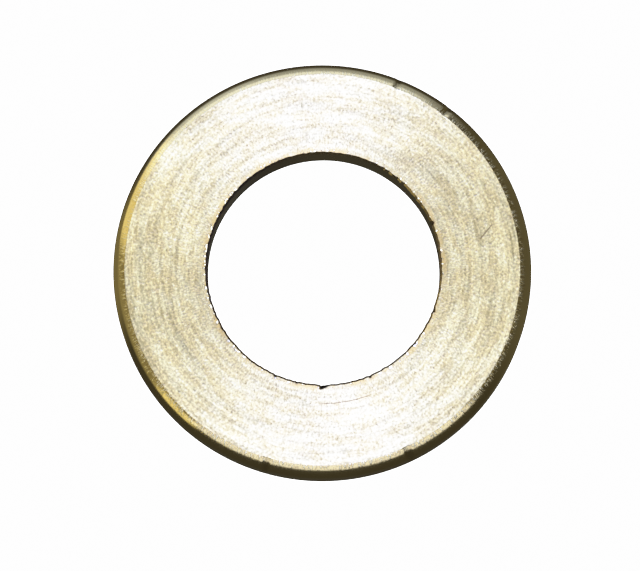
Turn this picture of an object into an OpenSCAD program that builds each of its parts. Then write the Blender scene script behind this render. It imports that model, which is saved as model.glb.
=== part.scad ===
// Plain flat washer for a 12 mm bolt, turned from brass, with a broad round edge on its upper face.
// It lies flat with its bore upright: +Z runs along the axis of the bore, and the origin is the centre of the
// lower face.

/* [Washer] */
// Outside diameter
outer_d = 23.7; // [20:0.05:36]
// Diameter of the bore
bore_d = 13.15; // [8:0.05:15]
// Thickness, from the lower face to the upper face
thickness = 2.5; // [2:0.05:5]

/* [Outer edges] */
// Radius of the round edge on the upper face
edge_round_top = 0.95; // [0.5:0.05:1.2]
// How much of that round's height the upper face cuts off, which leaves a faint corner where they meet
edge_cut_top = 0.05; // [0:0.01:0.2]
// Radius of the round edge on the lower face
edge_round_bottom = 0.3; // [0.1:0.05:0.6]

/* [Bore edges] */
// Width and depth of the chamfer at the mouth of the bore on the upper face
bore_chamfer_top = 0.12; // [0.05:0.01:0.4]
// Width and depth of the chamfer at the mouth of the bore on the lower face
bore_chamfer_bottom = 0.2; // [0.05:0.01:0.4]

/* [Hidden] */

outer_r = outer_d / 2;
bore_r = bore_d / 2;
// Height at which the rim ends and the upper round edge begins
rim_top = thickness - edge_round_top + edge_cut_top;

// Sides of every circle, a multiple of 4 so that a round edge meets the rim and the lower face exactly
smooth = 128;

// The bar of metal from the bore out to the rim, with all four corners cut straight
module bar() {
    polygon([
        [bore_r, bore_chamfer_bottom],
        [bore_r + bore_chamfer_bottom, 0],
        [outer_r - edge_round_bottom, 0],
        [outer_r, edge_round_bottom],
        [outer_r, rim_top],
        [outer_r - edge_round_top, thickness],
        [bore_r + bore_chamfer_top, thickness],
        [bore_r, thickness - bore_chamfer_top],
    ]);
}

// A disc that touches the rim from inside, with its centre at the height given
module edge_disc(radius, centre_z) {
    translate([outer_r - radius, centre_z])
        circle(r = radius, $fn = smooth);
}

// Fills the upper outer corner out to its round edge, and stops at the height of the upper face
module top_edge() {
    intersection() {
        edge_disc(edge_round_top, rim_top);
        translate([bore_r + bore_chamfer_top, rim_top])
            square([outer_r - bore_r, thickness - rim_top]);
    }
}

// The ring itself: its half section, carried once round the axis of the bore
module washer() {
    color([0.83, 0.76, 0.54])
        rotate_extrude($fn = smooth) {
            bar();
            top_edge();
            edge_disc(edge_round_bottom, edge_round_bottom);
        }
}

washer();
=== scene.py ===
# %% [markdown]
# # A turned brass washer
#
# The real object is one ring of brass, cut on a lathe. Its looks come from three things that this lesson
# builds in turn: the fine rings that the tool leaves on the faces, the small damage that the edges pick
# up in a box of loose parts, and the way that ringed metal mirrors a lamp.
#
# The CAD model gives every size. Its mesh could be shaded as it is, but a CAD mesh has long thin
# triangles and no marks of use, so a finer skin is made to ride on it. The CAD mesh is loaded first as a
# fixed frame, and nothing in it is moved.

# %% Load the CAD frame
import math

import bpy
import numpy as np
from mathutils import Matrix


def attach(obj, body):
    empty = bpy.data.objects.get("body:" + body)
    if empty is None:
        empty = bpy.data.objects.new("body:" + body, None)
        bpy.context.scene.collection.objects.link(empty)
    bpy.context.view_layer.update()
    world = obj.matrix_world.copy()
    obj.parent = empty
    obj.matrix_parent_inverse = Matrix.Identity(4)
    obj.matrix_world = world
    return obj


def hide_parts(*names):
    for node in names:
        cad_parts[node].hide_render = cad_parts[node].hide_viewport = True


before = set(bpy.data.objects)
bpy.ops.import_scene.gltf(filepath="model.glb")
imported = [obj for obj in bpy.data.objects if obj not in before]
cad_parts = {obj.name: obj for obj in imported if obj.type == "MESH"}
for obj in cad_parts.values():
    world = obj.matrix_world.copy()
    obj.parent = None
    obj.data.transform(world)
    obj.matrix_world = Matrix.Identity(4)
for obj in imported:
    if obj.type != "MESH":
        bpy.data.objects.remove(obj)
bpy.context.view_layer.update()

# %% [markdown]
# ## The sizes, read from the CAD mesh
#
# A washer is the same all the way round, so its half section says everything: the radius and the height
# of each corner. The sizes could be typed in again, but then a change in the CAD source would leave this
# script behind. So each size is read from the CAD vertices, by asking which of them lie on the bore, the
# rim and the two faces.

# %% Measure the half section
MM = 0.001
NEAR = 0.004  # mm, how near to a surface a CAD vertex has to be to count as part of it


def half_section(piece):
    """Radius and height of every vertex in mm. The radius is the square root of x squared plus y
    squared."""
    co = np.empty(len(piece.data.vertices) * 3)
    piece.data.vertices.foreach_get("co", co)
    x, y, z = co.reshape(-1, 3).T / MM
    return np.hypot(x, y), z


cad_r, cad_z = half_section(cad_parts["washer"])
bore_r, outer_r = cad_r.min(), cad_r.max()
base_z, face_z = cad_z.min(), cad_z.max()
on_face, on_base = cad_z > face_z - NEAR, cad_z < base_z + NEAR
on_bore, on_rim = cad_r < bore_r + NEAR, cad_r > outer_r - NEAR
face_in, face_out = cad_r[on_face].min(), cad_r[on_face].max()
base_in, base_out = cad_r[on_base].min(), cad_r[on_base].max()
wall_low, wall_high = cad_z[on_bore].min(), cad_z[on_bore].max()
rim_low, rim_high = cad_z[on_rim].min(), cad_z[on_rim].max()
print(f"bore radius {bore_r:.3f}, outer radius {outer_r:.3f}, thickness {face_z - base_z:.3f} mm")
print(f"upper face from {face_in:.3f} to {face_out:.3f}, rim from {rim_low:.3f} to {rim_high:.3f} mm high")

# %% [markdown]
# ## The half section as one closed line
#
# The ring could be spun from a curve with a Screw modifier. A grid worked out with numpy is used here,
# because the surface then has one column of points for each angle and one row for each step along the
# section, and every mark that the tool or a knock has left is a formula on those two numbers. The line
# starts at the inner corner of the lower face, where the join of the grid is out of sight, goes up the
# bore, out over the upper face, down the rim and back under the washer.

# %% Walk the half section
COLUMNS = 600  # columns of points round the ring
LIP_WIDE = 0.45  # mm of the upper face, next to the bore, that gets finer steps


def straight(start, end, steps):
    """Points from start up to but not including end: start plus t times end minus start."""
    t = np.arange(steps)[:, None] / steps
    return np.array(start) * (1 - t) + np.array(end) * t


def arc(centre, radius, start_deg, end_deg, steps):
    """Points on a circle up to but not including its end: centre plus radius times cosine and sine of
    the angle."""
    a = np.radians(start_deg + (end_deg - start_deg) * np.arange(steps) / steps)
    return np.stack([centre[0] + radius * np.cos(a), centre[1] + radius * np.sin(a)], axis=1)


def round_radius(inset, height):
    """Radius of the arc that starts upright at the rim and is cut off inset mm in and height mm up:
    (inset squared + height squared) / (2 inset), from Pythagoras in the arc's own triangle."""
    return (inset * inset + height * height) / (2 * inset)


top_round = round_radius(outer_r - face_out, face_z - rim_high)
low_round = outer_r - base_out
cut_deg = math.degrees(math.asin((face_z - rim_high) / top_round))
near_bore = face_in + LIP_WIDE
stretches = {
    "low_chamfer": straight((base_in, base_z), (bore_r, wall_low), 4),
    "bore": straight((bore_r, wall_low), (bore_r, wall_high), 10),
    "bevel": straight((bore_r, wall_high), (face_in, face_z), 8),
    "face_lip": straight((face_in, face_z), (near_bore, face_z), 10),
    "face": straight((near_bore, face_z), (face_out, face_z), 78),
    "edge": arc((outer_r - top_round, rim_high), top_round, cut_deg, 0, 18),
    "rim": straight((outer_r, rim_high), (outer_r, rim_low), 6),
    "low_edge": arc((base_out, rim_low), low_round, 0, -90, 8),
    "base": straight((base_out, base_z), (base_in, base_z), 24),
}
section = np.concatenate(list(stretches.values()))
zone = np.repeat(list(stretches), [len(s) for s in stretches.values()])
gaps = np.linalg.norm(np.roll(section, -1, axis=0) - section, axis=1)
along = np.concatenate([[0.0], np.cumsum(gaps)])  # mm from the start, with the closing point at the end
ROWS = len(section)
print(f"{ROWS} points along {along[-1]:.2f} mm of half section, upper edge radius {top_round:.3f} mm")

# %% [markdown]
# ## The marks of the tool and of wear, as shape
#
# Four kinds of mark are deep enough to be real shape. The facing tool leaves rings about a quarter of a
# millimetre apart and a micron or two deep. The edge of the bore has a thin ragged lip, rolled over by
# the tool. A knock has bitten one notch out of that lip, and lighter knocks have left small dents in the
# lip and in the outer edge. They could be drawn as dark paint, but then they would vanish from the side.
# Each is a shift of the grid's points. On the faces and the outer edge the points only move into the
# metal, so the washer never grows past its size. The ragged lip wanders both ways by a hair.
#
# Raggedness needs randomness that closes on itself after a full turn. A sum of cosines with whole numbers
# of waves does that, and a seed makes it the same on each run.

# %% Ragged numbers, and the grid before any mark
def ragged(angles, waves_low, waves_high, seed):
    """A wavy line round the ring with a mean square of 1: the sum of cosines with every whole number
    of waves from low to high, each with a random size and start."""
    draw = np.random.default_rng(seed)
    waves = np.arange(waves_low, waves_high + 1)
    size = draw.normal(size=len(waves)) + 0.3
    start = draw.uniform(0, 2 * np.pi, len(waves))
    line = (size * np.cos(np.outer(angles, waves) + start)).sum(axis=1)
    return line / math.sqrt((size * size).sum() / 2)


def tool_rings(r, pitch, seed):
    """Depth of the turned rings from 0 to 1: waves about one pitch long, with pitch and size drifting
    along r."""
    draw = np.random.default_rng(seed)
    waves = draw.uniform(0.75, 1.35, 9) / pitch
    start = draw.uniform(0, 2 * np.pi, 9)
    line = np.cos(2 * np.pi * np.multiply.outer(r, waves) + start).sum(axis=-1)
    return 0.5 - 0.5 * np.tanh(line / 3)


turn = np.linspace(0, 2 * np.pi, COLUMNS, endpoint=False)
R = np.tile(section[:, 0], (COLUMNS, 1))
Z = np.tile(section[:, 1], (COLUMNS, 1))
TURN = np.tile(turn[:, None], (1, ROWS))
upper = np.isin(zone, ["face_lip", "face"])
lower = zone == "base"
lip = np.isin(zone, ["bevel", "face_lip"])
print(f"{R.size} points: {COLUMNS} columns of {ROWS}")

# %% Turn the rings into the faces
RING_DEPTH = 0.0016  # mm, on the upper face
RING_PITCH = 0.25  # mm from ring to ring there
BASE_DEPTH = 3 * RING_DEPTH  # the lower face was cut more coarsely
BASE_PITCH = 0.9  # mm
WOBBLE = 0.02  # mm, how far the rings were cut off centre
wobble = WOBBLE * np.cos(TURN - 0.8)
fade_in = np.clip((R - face_in) / 0.3, 0, 1) * np.clip((face_out - R) / 0.2, 0, 1)
Z -= np.where(upper, RING_DEPTH * tool_rings(R + wobble, RING_PITCH, seed=3) * fade_in, 0)
Z += np.where(lower, BASE_DEPTH * tool_rings(R, BASE_PITCH, seed=5), 0)
print(f"rings {RING_DEPTH * 1000:.1f} microns deep above and {BASE_DEPTH * 1000:.1f} below")

# %% Make the lip of the bore ragged
LIP_RAG = 0.012  # mm, about how far the lip wanders from a true circle
LIP_REACH = 0.03  # mm, how far out over the face it does so
DOWN_SHARE = 0.3  # a mark on an edge goes this much of its depth downwards too
lip_fade = np.exp(-np.maximum(R - face_in, 0) / LIP_REACH) * lip
fine_rag = ragged(turn, 40, 120, seed=11)[:, None]
long_rag = ragged(turn, 6, 30, seed=12)[:, None]
rag = LIP_RAG * (fine_rag * 0.8 + long_rag * 0.5)
R += rag * lip_fade
Z -= np.abs(rag) * DOWN_SHARE * lip_fade
print(f"the lip of the bore wanders by up to {np.abs(rag).max():.3f} mm")

# %% [markdown]
# ## The notch
#
# A cutter could be taken away with a Boolean, but that would break up the rows and columns that the
# finish relies on. Here the points that lie inside the notch are moved out to its floor, and the grid
# stays whole. The floor is a slope from the wall of the bore up to the face. Going round, the notch is
# steep on one side and long on the other.

# %% Bite the notch out of the lip of the bore
NOTCH_STEEP_DEG = -91.4  # where the notch is deepest, by its steep side
NOTCH_END_DEG = -85.6  # where its long side runs out
NOTCH_DEEP = 0.33  # mm, how far it reaches out from the bore
NOTCH_CLIMB = 0.7  # degrees from nothing to full reach at its steep side
NOTCH_DROP = 2.0  # how many times deeper it goes down the wall than out across the face


def notch_reach(angle_deg):
    """Reach of the notch at an angle in mm: it climbs from nothing to full at its steep side, and falls
    back in a straight line to the far end."""
    climb = (angle_deg - NOTCH_STEEP_DEG + NOTCH_CLIMB) / NOTCH_CLIMB
    fall = (NOTCH_END_DEG - angle_deg) / (NOTCH_END_DEG - NOTCH_STEEP_DEG)
    return NOTCH_DEEP * np.clip(np.minimum(climb, fall), 0, 1)


signed_deg = (np.degrees(turn) + 180) % 360 - 180
reach = np.maximum(notch_reach(signed_deg), 1e-6)[:, None]
share = (R - bore_r) / reach + (face_z - Z) / (reach * NOTCH_DROP)
bitten = (share < 1) & (reach > 0.01) & np.isin(zone, ["bore", "bevel", "face_lip"])
step_back = np.where(bitten, (1 - share) / 2, 0)
R += step_back * reach
Z -= step_back * reach * NOTCH_DROP
print(f"{int(bitten.sum())} points moved for the notch")

# %% [markdown]
# ## The dents
#
# A dent is deepest in its middle and fades out on both sides without a corner, like a bell. One formula
# serves them all, so each dent is only three numbers in a list.

# %% Knock small dents into the outer edge and the lip
# each dent is its middle in degrees, its half width in degrees and its depth in mm
RIM_DENTS = ((68.0, 0.5, 0.09), (52.0, 0.7, 0.07), (-65.0, 0.9, 0.10), (-106.0, 0.8, 0.08))
LIP_DENTS = ((-21.5, 0.5, 0.06), (-67.0, 0.6, 0.07), (-103.0, 0.5, 0.06), (-114.0, 0.6, 0.07),
             (23.0, 0.6, 0.08))


def dent_depth(angle_deg, dents):
    """Depth of the dents at an angle. Each has the shape of a bell: depth times exp of minus (distance
    over half width) squared."""
    bells = [depth * np.exp(-(((angle_deg - middle) / width) ** 2)) for middle, width, depth in dents]
    return np.sum(bells, axis=0)


high_up = np.clip((section[:, 1] - rim_high + 0.2) / 0.4, 0, 1) * (zone == "edge")
rim_dents = dent_depth(signed_deg, RIM_DENTS)[:, None] * high_up
lip_dents = dent_depth(signed_deg, LIP_DENTS)[:, None] * lip_fade
R += lip_dents - rim_dents
Z -= (lip_dents + rim_dents) * DOWN_SHARE
print(f"{len(RIM_DENTS)} dents in the outer edge and {len(LIP_DENTS)} in the lip")

# %% [markdown]
# ## The grid as a mesh
#
# The rows and columns become four-sided faces. Each face lists its corners so that it points out of the
# metal: first along the section, then round the ring. The last row joins the first and the last column
# joins the first, so the skin is closed like a tyre, with no pole and no open edge.
#
# Smooth shading blends the direction of the surface across each corner of the section. That is right on
# the rounded edges and wrong where two cuts meet, so the edges of the mesh that run round such a corner
# are marked as sharp. The bore was also cut a hair off centre, which the grid's formula adds.

# %% Make the mesh
BORE_OFF = 0.08  # mm, how far the bore was cut off centre, towards +X
OFF_ENDS = outer_r - 1.0  # mm, the radius from which nothing is moved


def ring_mesh(name, r, z, angles):
    """A closed ring from radius and height at each column and row: x = r cosine angle, y = r sine
    angle. x is also moved by BORE_OFF at the bore, less and less further out, and by nothing from
    OFF_ENDS on."""
    columns, rows = r.shape
    off = BORE_OFF * np.clip((OFF_ENDS - r) / (OFF_ENDS - bore_r), 0, 1)
    points = np.stack([r * np.cos(angles) + off, r * np.sin(angles), z], axis=-1).reshape(-1, 3) * MM
    c, k = np.meshgrid(np.arange(columns), np.arange(rows), indexing="ij")
    c2, k2 = (c + 1) % columns, (k + 1) % rows
    corners = np.stack([c * rows + k, c * rows + k2, c2 * rows + k2, c2 * rows + k], axis=-1).reshape(-1)
    mesh = bpy.data.meshes.new(name)
    mesh.vertices.add(len(points))
    mesh.vertices.foreach_set("co", points.ravel())
    mesh.loops.add(len(corners))
    mesh.loops.foreach_set("vertex_index", corners)
    mesh.polygons.add(columns * rows)
    mesh.polygons.foreach_set("loop_start", np.arange(0, len(corners), 4))
    mesh.polygons.foreach_set("use_smooth", np.ones(columns * rows, bool))
    mesh.update(calc_edges=True)
    piece = bpy.data.objects.new(name, mesh)
    bpy.context.scene.collection.objects.link(piece)
    return piece


def keep_crisp(mesh, rows_round, crease_rows):
    """Marks the edges that run round the ring in the given rows as sharp: both ends have that row's
    number, which is the vertex number modulo the count of rows."""
    ends = np.empty(len(mesh.edges) * 2, int)
    mesh.edges.foreach_get("vertices", ends)
    row_a, row_b = (ends.reshape(-1, 2) % rows_round).T
    sharp = (row_a == row_b) & np.isin(row_a, crease_rows)
    mesh.attributes.new("sharp_edge", "BOOLEAN", "EDGE").data.foreach_set("value", sharp)
    return int(sharp.sum())


washer = ring_mesh("brass_washer", R, Z, TURN)
creases = [int(np.argmax(zone == name)) for name in ("low_chamfer", "bore", "bevel", "face_lip", "edge")]
print(f"{len(washer.data.polygons)} faces, so {2 * len(washer.data.polygons)} triangles")
print(f"{keep_crisp(washer.data, ROWS, creases)} edges kept crisp")

# %% [markdown]
# ## A map of the skin, and where each kind of surface is
#
# The finish has to know how far along the section a point is, in the same millimetres on a face as on a
# wall. A UV map can say that: U is the share of a full turn and V the share of the way along the section.
# It is stored on face corners, so it may jump at the join without a smeared strip. Which stretch a point
# belongs to is stored as one weight for each finish.

# %% Store the map and the weights
grid_v, grid_u = np.meshgrid(np.arange(ROWS), np.arange(COLUMNS))
share_along = along / along[-1]
corner_u = (grid_u[..., None] + np.array([0, 0, 1, 1])) / COLUMNS
corner_v = share_along[grid_v[..., None] + np.array([0, 1, 1, 0])]
skin_map = washer.data.uv_layers.new(name="skin")
skin_map.data.foreach_set("uv", np.stack([corner_u, corner_v], axis=-1).ravel())


def weight(name, row_values, column_values=None):
    """Stores one number from 0 to 1 on each point: its row's value, times its column's where that is
    given."""
    values = np.tile(row_values.astype(np.float32), (COLUMNS, 1))
    if column_values is not None:
        values = values * column_values[:, None]
    washer.data.attributes.new(name, "FLOAT", "POINT").data.foreach_set("value", values.ravel())


FULL_DENT = 0.06  # mm, the depth from which a dent has its full colour
edge_from_face = np.clip((section[:, 0] - face_out) / (outer_r - face_out), 0, 1)
from_lip = np.maximum(section[:, 0] - face_in, 0)
weight("flat_face", np.isin(zone, ["face_lip", "face", "base"]).astype(float))
weight("bore_lip", (zone == "face_lip") * np.clip(1.7 - from_lip / 0.1, 0, 1))
weight("lip_band", lip * np.clip(1.5 - from_lip / 0.2, 0, 1))
weight("bore_wall", np.isin(zone, ["bore", "bevel"]).astype(float))
in_lip_dent = np.minimum(dent_depth(signed_deg, LIP_DENTS) / FULL_DENT, 1)
in_rim_dent = np.minimum(dent_depth(signed_deg, RIM_DENTS) / FULL_DENT, 1)
weight("lip_dents", lip * np.clip(1.6 - from_lip / 0.1, 0, 1), in_lip_dent)
weight("rim_dents", high_up, in_rim_dent)
weight("nicked_edge", (zone == "edge") * np.clip(1.6 - 3.0 * edge_from_face, 0, 1))
notched = washer.data.attributes.new("notch", "FLOAT", "POINT")
notched.data.foreach_set("value", bitten.astype(np.float32).ravel())
print("weights:", [a.name for a in washer.data.attributes if a.data_type == "FLOAT"])

# %% [markdown]
# ## A short way to write shader maths
#
# A finish is a net of nodes, and most of them only add and multiply. Written as Python expressions they
# stay readable: this class holds one output of a node, and each operator on it adds a Math node.

# %% A socket that can be added and multiplied
class Wire:
    """One output socket. Arithmetic on it adds Math nodes, and node() adds any other kind."""

    def __init__(self, tree, socket):
        self.tree = tree
        self.socket = socket

    def node(self, kind, settings=None, inputs=None, output=0):
        """Adds a node: its settings first, then a value or a link for each input named. Gives one
        output."""
        made = self.tree.nodes.new("ShaderNode" + kind)
        for name, value in (settings or {}).items():
            setattr(made, name, value)
        for name, value in (inputs or {}).items():
            if isinstance(value, Wire):
                self.tree.links.new(value.socket, made.inputs[name])
            else:
                made.inputs[name].default_value = value
        return Wire(self.tree, made.outputs[output] if made.outputs else None)

    def math(self, operation, *values):
        return self.node("Math", {"operation": operation}, dict(enumerate(values)))

    def __add__(self, other):
        return self.math("ADD", self, other)

    def __radd__(self, other):
        return self.math("ADD", other, self)

    def __sub__(self, other):
        return self.math("SUBTRACT", self, other)

    def __rsub__(self, other):
        return self.math("SUBTRACT", other, self)

    def __mul__(self, other):
        return self.math("MULTIPLY", self, other)

    def smooth(self, low, high):
        """0 below low, 1 above high and an S curve between. Low may be above high, which turns it
        round."""
        ends = {"Value": self, "From Min": low, "From Max": high}
        return self.node("MapRange", {"interpolation_type": "SMOOTHSTEP"}, ends)

    def colour(self, start, end):
        """A colour that goes from start to end as this number goes from 0 to 1."""
        mixed = {"Factor": self, 6: start, 7: end}
        return self.node("Mix", {"data_type": "RGBA"}, mixed, output=2)


def start_tree(owner):
    """Empties a material or world and gives its tree, ready for new nodes."""
    owner.use_nodes = True
    owner.node_tree.nodes.clear()
    return owner.node_tree


print("a Wire can do:", [name for name in vars(Wire) if not name.startswith("__")])

# %% [markdown]
# ## Turned brass
#
# Brass is copper and zinc. Polished it mirrors a warm yellow. The faces are given a paler straw than
# the walls and edges: painted light, standing for the brighter light that washes the turned faces out.
# What makes it look turned is that its roughness has a direction.
# Across the rings the surface is rough, and along them it is smooth, so a lamp is drawn out into a bright
# bow tie across the rings. The shader's Anisotropic value does this, with its direction turned a quarter
# so that it follows the radius.
#
# The marks themselves are noise on stretched coordinates. Where a point is round the ring goes in as a
# direction, the cosine and sine of its angle, so the pattern closes on itself. A small factor on the
# direction makes long streaks, and a large one makes short grains.

# %% Coordinates on the skin
brass = bpy.data.materials.new("turned_brass")
brass_tree = start_tree(brass)
place = Wire(brass_tree, None).node("TexCoord", output="Object")
round_ring = place.node("VectorMath", {"operation": "MULTIPLY"}, {0: place, 1: (1.0, 1.0, 0.0)})
heading = place.node("VectorMath", {"operation": "NORMALIZE"}, {0: round_ring})
skin_uv = place.node("UVMap", {"uv_map": "skin"})
v_share = place.node("SeparateXYZ", inputs={0: skin_uv}, output="Y")
along_mm = v_share * float(along[-1])


def streaks(per_turn, per_mm, detail, seed):
    """Noise drawn out round the ring: direction times per_turn, and millimetres along the section
    times per_mm."""
    stretched = place.node("VectorMath", {"operation": "SCALE"}, {0: heading, "Scale": per_turn})
    lift = place.node("CombineXYZ", inputs={"Z": along_mm * per_mm})
    spot = place.node("VectorMath", {"operation": "ADD"}, {0: stretched, 1: lift})
    settings = {"noise_dimensions": "4D"}
    return place.node("TexNoise", settings, {"Vector": spot, "W": seed, "Scale": 1.0, "Detail": detail})


def stored(name):
    """A weight that the mesh carries."""
    return place.node("Attribute", {"attribute_name": name}, output="Fac")


def toward(side):
    """How far a point round the ring lies towards a side: 1 on that side and -1 opposite. It is the dot
    product of two directions."""
    return place.node("VectorMath", {"operation": "DOT_PRODUCT"}, {0: heading, 1: side}, output="Value")


flat_face = stored("flat_face")
bore_lip = stored("bore_lip")
lip_band = stored("lip_band")
nicked_edge = stored("nicked_edge")
dent_shade = stored("lip_dents") + stored("rim_dents") * 0.3
bore_wall = stored("bore_wall")
notch = stored("notch")
long_lines = streaks(3.0, 6.0, detail=1.0, seed=1.0)
short_lines = streaks(14.0, 7.0, detail=1.0, seed=2.0)
sparkle_grain = streaks(75.0, 7.5, detail=1.0, seed=3.0)
zones = streaks(2.0, 1.2, detail=1.0, seed=4.0)
nicks = streaks(150.0, 3.0, detail=2.0, seed=5.0)
warmth = streaks(7.0, 2.0, detail=2.0, seed=6.0)
flecks = streaks(50.0, 5.0, detail=1.0, seed=7.0)
burr_glint_noise = streaks(40.0, 5.0, detail=0.0, seed=8.0)
print(f"{len(brass_tree.nodes)} nodes so far, most of them noise")

# %% [markdown]
# ## Two single marks
#
# A scratch and a short groove stand out on the upper face. They are far too thin for the grid, so they
# are worked out at each point of the skin by the shader: how far is this point from a line, or from an
# arc?

# %% A scratch and a groove
place_mm = place.node("VectorMath", {"operation": "SCALE"}, {0: place, "Scale": 1000.0})
x_mm = place_mm.node("SeparateXYZ", inputs={0: place_mm}, output="X")
y_mm = place_mm.node("SeparateXYZ", inputs={0: place_mm}, output="Y")
z_mm = place_mm.node("SeparateXYZ", inputs={0: place_mm}, output="Z")
radius_mm = place.math("SQRT", x_mm * x_mm + y_mm * y_mm)


def scratch(start, end, half_width):
    """1 on a straight line from start to end and 0 off it: the distance along the line and the
    distance beside it, each compared with its limit."""
    length = math.dist(start, end)
    go_x, go_y = (end[0] - start[0]) / length, (end[1] - start[1]) / length
    from_x, from_y = x_mm - (start[0] + end[0]) / 2, y_mm - (start[1] + end[1]) / 2
    ahead = place.math("ABSOLUTE", from_x * go_x + from_y * go_y)
    beside = place.math("ABSOLUTE", from_x * go_y - from_y * go_x)
    return beside.smooth(half_width * 1.6, half_width * 0.4) * ahead.smooth(length / 2, length / 2 - 0.15)


def groove(radius, middle_deg, half_deg, half_width):
    """1 on an arc of that radius and 0 off it. The cosine of the angle from the arc's middle says
    where it ends."""
    middle = math.radians(middle_deg)
    near_middle = toward((math.cos(middle), math.sin(middle), 0.0))
    off = place.math("ABSOLUTE", radius_mm - radius)
    ends = near_middle.smooth(math.cos(math.radians(half_deg)), math.cos(math.radians(half_deg * 0.6)))
    return off.smooth(half_width * 1.6, half_width * 0.4) * ends


SCRATCH_ENDS = (8.88, 1.63), (9.62, 2.54)  # mm
GROOVE_RADIUS = 7.68  # mm
GROOVE_HALF_DEG = 13.0
one_scratch = scratch(*SCRATCH_ENDS, half_width=0.035)
one_groove = groove(GROOVE_RADIUS, -80.0, GROOVE_HALF_DEG, half_width=0.03)
on_top = z_mm.smooth(face_z - 0.4, face_z - 0.1)  # 1 on the upper face only
single_marks = (one_scratch + one_groove) * on_top
print(f"one scratch of {math.dist(*SCRATCH_ENDS):.1f} mm, one groove of {2 * GROOVE_HALF_DEG:.0f} degrees")

# %% [markdown]
# ## The colour of the faces
#
# All the streaks are added into one number, and the colour is scaled by e to that number, so that a mark
# and its opposite balance out and no mark can go below black. The short grains are partly painted
# sparkle: glints of light painted into the colour over the real tool marks. Yellower and paler brass mix
# in patches.

# %% Colour of the faces
WALL_BRASS = (0.82, 0.70, 0.40, 1)
# painted light: the faces' paler straw stands for the brighter light on them
PALE_LIT_BRASS = (0.665, 0.63, 0.46, 1)
GOLD_BRASS = (0.59, 0.525, 0.34, 1)
PINK_BRASS = (0.63, 0.55, 0.42, 1)
# the short grains here are partly painted sparkle, glints painted into the colour
marks = (long_lines - 0.5) * 1.05 + (short_lines - 0.5) * 0.85 + (sparkle_grain - 0.5) * 2.5
cloud = (zones - 0.5) * 0.8
face_colour = warmth.smooth(0.40, 0.60).colour(PALE_LIT_BRASS, GOLD_BRASS)
face_colour = (flecks.smooth(0.45, 0.75) * 0.5).colour(face_colour, PINK_BRASS)
brighter = place.math("EXPONENT", marks + cloud)
face_colour = place.node("VectorMath", {"operation": "SCALE"}, {0: face_colour, "Scale": brighter})
base = flat_face.colour(WALL_BRASS, face_colour)
print(f"{len(brass_tree.nodes)} nodes with the colour of the faces")

# %% [markdown]
# ## The colour of the marks of use, with painted light and shade
#
# Each mark is mixed over what is there already, so the last one wins. Close to the lip the metal is
# yellower. Burrs on the lip are painted nearly white as glints of the lamp, a painted highlight, with
# more of them on the left. The wall of the bore gets painted shade, darkest and bluish black on one side.
# The nicks in the outer edge get pale spots, partly burnished metal and partly painted highlight, and
# dark spots of painted shade, and there are more of them where the washer was knocked most. The dents
# and the notch are darkened with painted shade.

# %% Colour of the marks of use, with painted light and shade
LIP_GOLD = (0.60, 0.47, 0.24, 1)
# dark colour of the scratch and the groove, also used as painted shade in the dents
SCRATCH_AND_DENT_SHADE = (0.14, 0.10, 0.07, 1)
BLUISH_SHADE = (0.17, 0.15, 0.25, 1)
GLINT_WHITE = (1.0, 1.0, 1.0, 1)
NICK_GLINT_PALE = (0.85, 0.84, 0.72, 1)
NICK_SHADE_DARK = (0.50, 0.38, 0.24, 1)
NOTCH_SHADE = (0.05, 0.035, 0.045, 1)
SHADED_SIDE = (-0.96, 0.28, 0.0)  # the bore wall is bluish black on this side
WORN_SIDE = (0.64, -0.77, 0.0)  # the edge has most nicks on this side

fringe = lip_band * (0.35 + warmth.smooth(0.40, 0.55) * 0.45)
base = fringe.colour(base, LIP_GOLD)
base = (single_marks * 0.8).colour(base, SCRATCH_AND_DENT_SHADE)
# painted shade darkening the dents
base = (dent_shade * 0.8).colour(base, SCRATCH_AND_DENT_SHADE)
# painted shade on the bore wall, darkest and bluish black on one side
wall_shade = bore_wall * (0.25 + toward(SHADED_SIDE).smooth(0.3, 0.95) * 0.65)
base = wall_shade.colour(base, BLUISH_SHADE)
left_side = place.node("SeparateXYZ", inputs={0: heading}, output="X").smooth(-0.6, -0.95)
# painted highlight: burrs on the lip are painted white as glints of the lamp, more of them on the left
burr_glints = (burr_glint_noise + left_side * 0.105).smooth(0.65, 0.69) * bore_lip  # more of them on the left
base = burr_glints.colour(base, GLINT_WHITE)
worn = nicked_edge * (0.4 + toward(WORN_SIDE).smooth(-0.5, 0.3) * 0.6)
# pale spots on the nicks: partly burnished metal, partly painted highlight
nick_glint_spots = nicks.smooth(0.52, 0.62) * worn
# dark spots on the nicks: painted shade on their shaded sides
nick_shade = nicks.smooth(0.48, 0.36) * worn
base = (nick_glint_spots * 0.8).colour(base, NICK_GLINT_PALE)
base = (nick_shade * 0.8).colour(base, NICK_SHADE_DARK)
# painted shade: the notch is made nearly black
base = notch.colour(base, NOTCH_SHADE)
print(f"{len(brass_tree.nodes)} nodes with the marks of use")

# %% [markdown]
# ## Roughness, bump and the shader
#
# Burrs are made smoother as well as painted white. The rounded edges were tumbled and not
# turned, so they are smoother than the faces. The fine marks are too shallow and too narrow for the grid.
# They are given to the shader as a height, and it tips the surface as if they were there.

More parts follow.
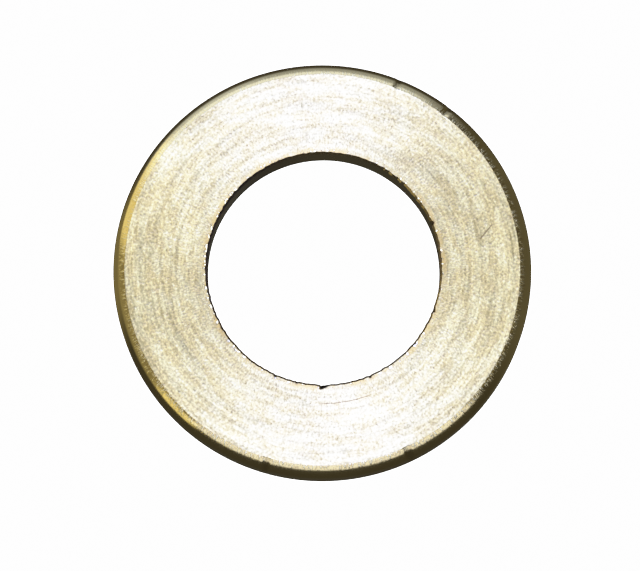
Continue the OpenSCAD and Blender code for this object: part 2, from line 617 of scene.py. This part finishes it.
# %% Roughness, bump and the shader
BUMP_HIGH = 1.7e-5  # m, the height of the fine marks
face_rough = 0.21 + (short_lines - 0.5) * 0.2 + (sparkle_grain - 0.5) * 0.2
rough = (0.12 + flat_face * face_rough) * (1 - burr_glints * 0.8)
face_height = (long_lines * 0.8 + short_lines * 0.8 + sparkle_grain * 1.0) * (1 - burr_glints)
height = face_height * flat_face + nick_glint_spots * 0.7
bumped = place.node("Bump", inputs={"Strength": 1.0, "Distance": BUMP_HIGH, "Height": height})
shader_inputs = {
    "Base Color": base,
    "Metallic": 1.0,
    "Roughness": rough,
    "Normal": bumped,
    "Anisotropic": 0.9,
    "Anisotropic Rotation": 0.25,
}
surface = place.node("BsdfPrincipled", inputs=shader_inputs)
place.node("OutputMaterial", inputs={"Surface": surface})
washer.data.materials.append(brass)
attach(washer, "root")
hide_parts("washer")
print(f"turned brass has {len(brass_tree.nodes)} nodes")

# %% [markdown]
# ## The studio
#
# Metal shows what is around it, so the studio is designed as a picture for the washer to mirror. It could
# be area lamps, but painting the light on the world keeps the lamps' edges soft and the picture free of
# noise. Directions are all it needs: how far a ray leans from straight up, and which way it heads.
#
# A long lamp hangs overhead, warm in the middle and cool at its ends. The turned rings draw it out into
# the bow tie on the face. A wide pale card stands in front and a greyer one behind, and two narrow golden
# cards stand to the left, which give the rounded edge its yellow gleams. Faint cards lower down keep the
# rim from going black. The rest of the room is dark, so the rim is dark.

# %% Light painted on the world
world = bpy.data.worlds.new("soft_studio")
bpy.context.scene.world = world
sky_tree = start_tree(world)
ray = Wire(sky_tree, None).node("TexCoord", output="Generated")
ray_x = ray.node("SeparateXYZ", inputs={0: ray}, output="X")
ray_y = ray.node("SeparateXYZ", inputs={0: ray}, output="Y")
ray_z = ray.node("SeparateXYZ", inputs={0: ray}, output="Z")
leaning = ray_z.math("ARCCOSINE", ray_z) * math.degrees(1)  # degrees from straight up


def window(angle, low, high, soft):
    """1 between two angles and 0 outside, with soft degrees of fade at each end."""
    return angle.smooth(low - soft, low + soft) * angle.smooth(high + soft, high - soft)


def panel(middle_deg, half_deg, top_deg, foot_deg, soft, colour, power):
    """A lamp or card that spans half_deg to each side of the compass angle middle_deg, counted from +X
    towards +Y, and leans from top_deg to foot_deg away from straight up."""
    middle = math.radians(middle_deg)
    ahead = ray_x * math.cos(middle) + ray_y * math.sin(middle)
    beside = ray_y * math.cos(middle) - ray_x * math.sin(middle)
    turn_deg = ray.math("ARCTAN2", beside, ahead) * math.degrees(1)
    shape = window(turn_deg, -half_deg, half_deg, soft) * window(leaning, top_deg, foot_deg, soft)
    return ray.node("Background", inputs={"Color": colour, "Strength": shape * power})


TURNED = math.radians(5)  # how far the long lamp is turned from the Y axis
LAMP_POWER = 2.72
ray_u = ray_x * math.cos(TURNED) + ray_y * math.sin(TURNED)
ray_v = ray_y * math.cos(TURNED) - ray_x * math.sin(TURNED)
across = ray.math("ARCTAN2", ray_u, ray_z) * math.degrees(1)
endways = ray.math("ARCTAN2", ray_v, ray_z) * math.degrees(1)
lamp_shape = window(across, -12, 12, 6) * window(endways, -26, 34, 12)
lamp_end = endways.math("ABSOLUTE", endways - 5.0).smooth(5, 20)  # 0 in its middle, 1 at its ends
CREAM = (1.0, 0.975, 0.82, 1)
COOL = (0.92, 1.0, 1.9, 1)
GREY = (0.90, 1.0, 1.22, 1)
OLIVE = (1.0, 0.92, 0.62, 1)
WHITE = (1.0, 1.02, 1.10, 1)
WARM = (1.0, 0.86, 0.42, 1)
DARK = (0.047, 0.042, 0.028, 1)
lamp_colour = lamp_end.colour(CREAM, COOL)
panels = [
    ray.node("Background", inputs={"Color": DARK, "Strength": 1.0}),
    ray.node("Background", inputs={"Color": lamp_colour, "Strength": lamp_shape * LAMP_POWER}),
    panel(275, 52, 22, 64, 4, WHITE, 1.1),  # in front
    panel(102, 38, 28, 65, 9, GREY, 1.05),  # behind
    panel(100, 42, 60, 98, 10, GREY, 0.34),  # behind, lower down
    panel(122, 15, 56, 92, 7, GREY, 0.26),  # behind on the left, lower down
    panel(148, 15, 30, 90, 4, WARM, 0.86),  # the golden card at the back left
    panel(217, 8, 44, 82, 3, WARM, 0.95),  # the golden card at the front left
    panel(187, 26, 20, 86, 8, WARM, 0.22),  # a dim one between the two
    panel(168, 18, 84, 150, 10, WARM, 0.14),  # low on the left, seen in the rim
    panel(0, 50, 16, 42, 8, WARM, 0.16),  # high on the right
    panel(15, 35, 44, 168, 14, OLIVE, 0.055),  # low on the right, seen in the rim
]
light = panels[0]
for lamp in panels[1:]:
    light = ray.node("AddShader", inputs={0: light, 1: lamp})
ray.node("OutputWorld", inputs={"Surface": light})
print(f"the studio has {len(sky_tree.nodes)} nodes")

# %% [markdown]
# ## The floor
#
# The floor is a plain pale sheet that gives off its own light, so no shadow falls on it and it stays
# even. It is hidden from mirrored rays, because the dark room below the rim gives the washer its crisp
# outline.

# %% Floor
FLOOR_HALF = 1.0  # m
FLOOR_Z = -0.00001  # m, so that the lower face doesn't touch it
FLOOR_GLOW = 2.5  # bright enough to come out white
floor_mesh = bpy.data.meshes.new("floor")
corners = np.array([[-1, -1], [1, -1], [1, 1], [-1, 1]]) * FLOOR_HALF
floor_mesh.from_pydata([(x, y, FLOOR_Z) for x, y in corners], [], [(0, 1, 2, 3)])
floor = bpy.data.objects.new("floor", floor_mesh)
bpy.context.scene.collection.objects.link(floor)
paper = bpy.data.materials.new("white_paper")
paper_tree = start_tree(paper)
sheet = Wire(paper_tree, None).node("Emission", inputs={"Color": (1, 1, 1, 1), "Strength": FLOOR_GLOW})
sheet.node("OutputMaterial", inputs={"Surface": sheet})
floor_mesh.materials.append(paper)
floor.visible_glossy = False
floor.visible_diffuse = False
floor.visible_shadow = False
print(f"floor {2 * FLOOR_HALF:.0f} m wide, just under the washer")

# %% [markdown]
# ## The camera
#
# The camera looks almost straight down, leaning a little towards -Y, so that the far wall of the bore and
# the near part of the rim just show. A long lens far away keeps the ring round: a short lens close up
# would stretch it.

# %% Camera
DISTANCE = 0.237  # m, from the point that it aims at to the lens
TILT = math.radians(8.45)  # how far the camera leans from straight above, towards -Y
LENS = 236.4  # mm
aim = np.array([-0.130, -0.978, face_z]) * MM
camera_data = bpy.data.cameras.new("camera")
camera_data.sensor_width = 36
camera_data.lens = LENS
camera_data.clip_start = 0.01
camera_data.clip_end = 10
camera = bpy.data.objects.new("camera", camera_data)
bpy.context.scene.collection.objects.link(camera)
camera.location = aim + DISTANCE * np.array([0, -math.sin(TILT), math.cos(TILT)])
camera.rotation_euler = (TILT, 0, 0)
bpy.context.scene.camera = camera
print(f"camera {DISTANCE * 1000:.0f} mm away, leaning {math.degrees(TILT):.2f} degrees")

# %% [markdown]
# ## The picture's tones
#
# A lamp mirrored in metal is brighter than paper white. Cutting it off at white would leave flat patches
# with hard borders. A curve with a shoulder keeps the middle tones as they are and eases the bright ones
# into white.

# %% Tones
WHITE_AT = 2.0  # the brightness that comes out as pure white
# pairs of a brightness and how bright it is shown
TONES = [(0.0, 0.0), (0.6, 0.6), (0.8, 0.775), (1.0, 0.895), (1.2, 0.96), (1.5, 0.995), (2.0, 1.0)]
view = bpy.context.scene.view_settings
view.view_transform = "Standard"
view.use_curve_mapping = True
tone_map = view.curve_mapping
tone_map.white_level = (WHITE_AT, WHITE_AT, WHITE_AT)
tone_curve = tone_map.curves[3]  # the one for all colours together
for bright, shown in TONES[1:-1]:
    tone_curve.points.new(bright / WHITE_AT, shown)
tone_map.update()
print(f"tone curve with {len(tone_curve.points)} points, white at {WHITE_AT}")

# %% [markdown]
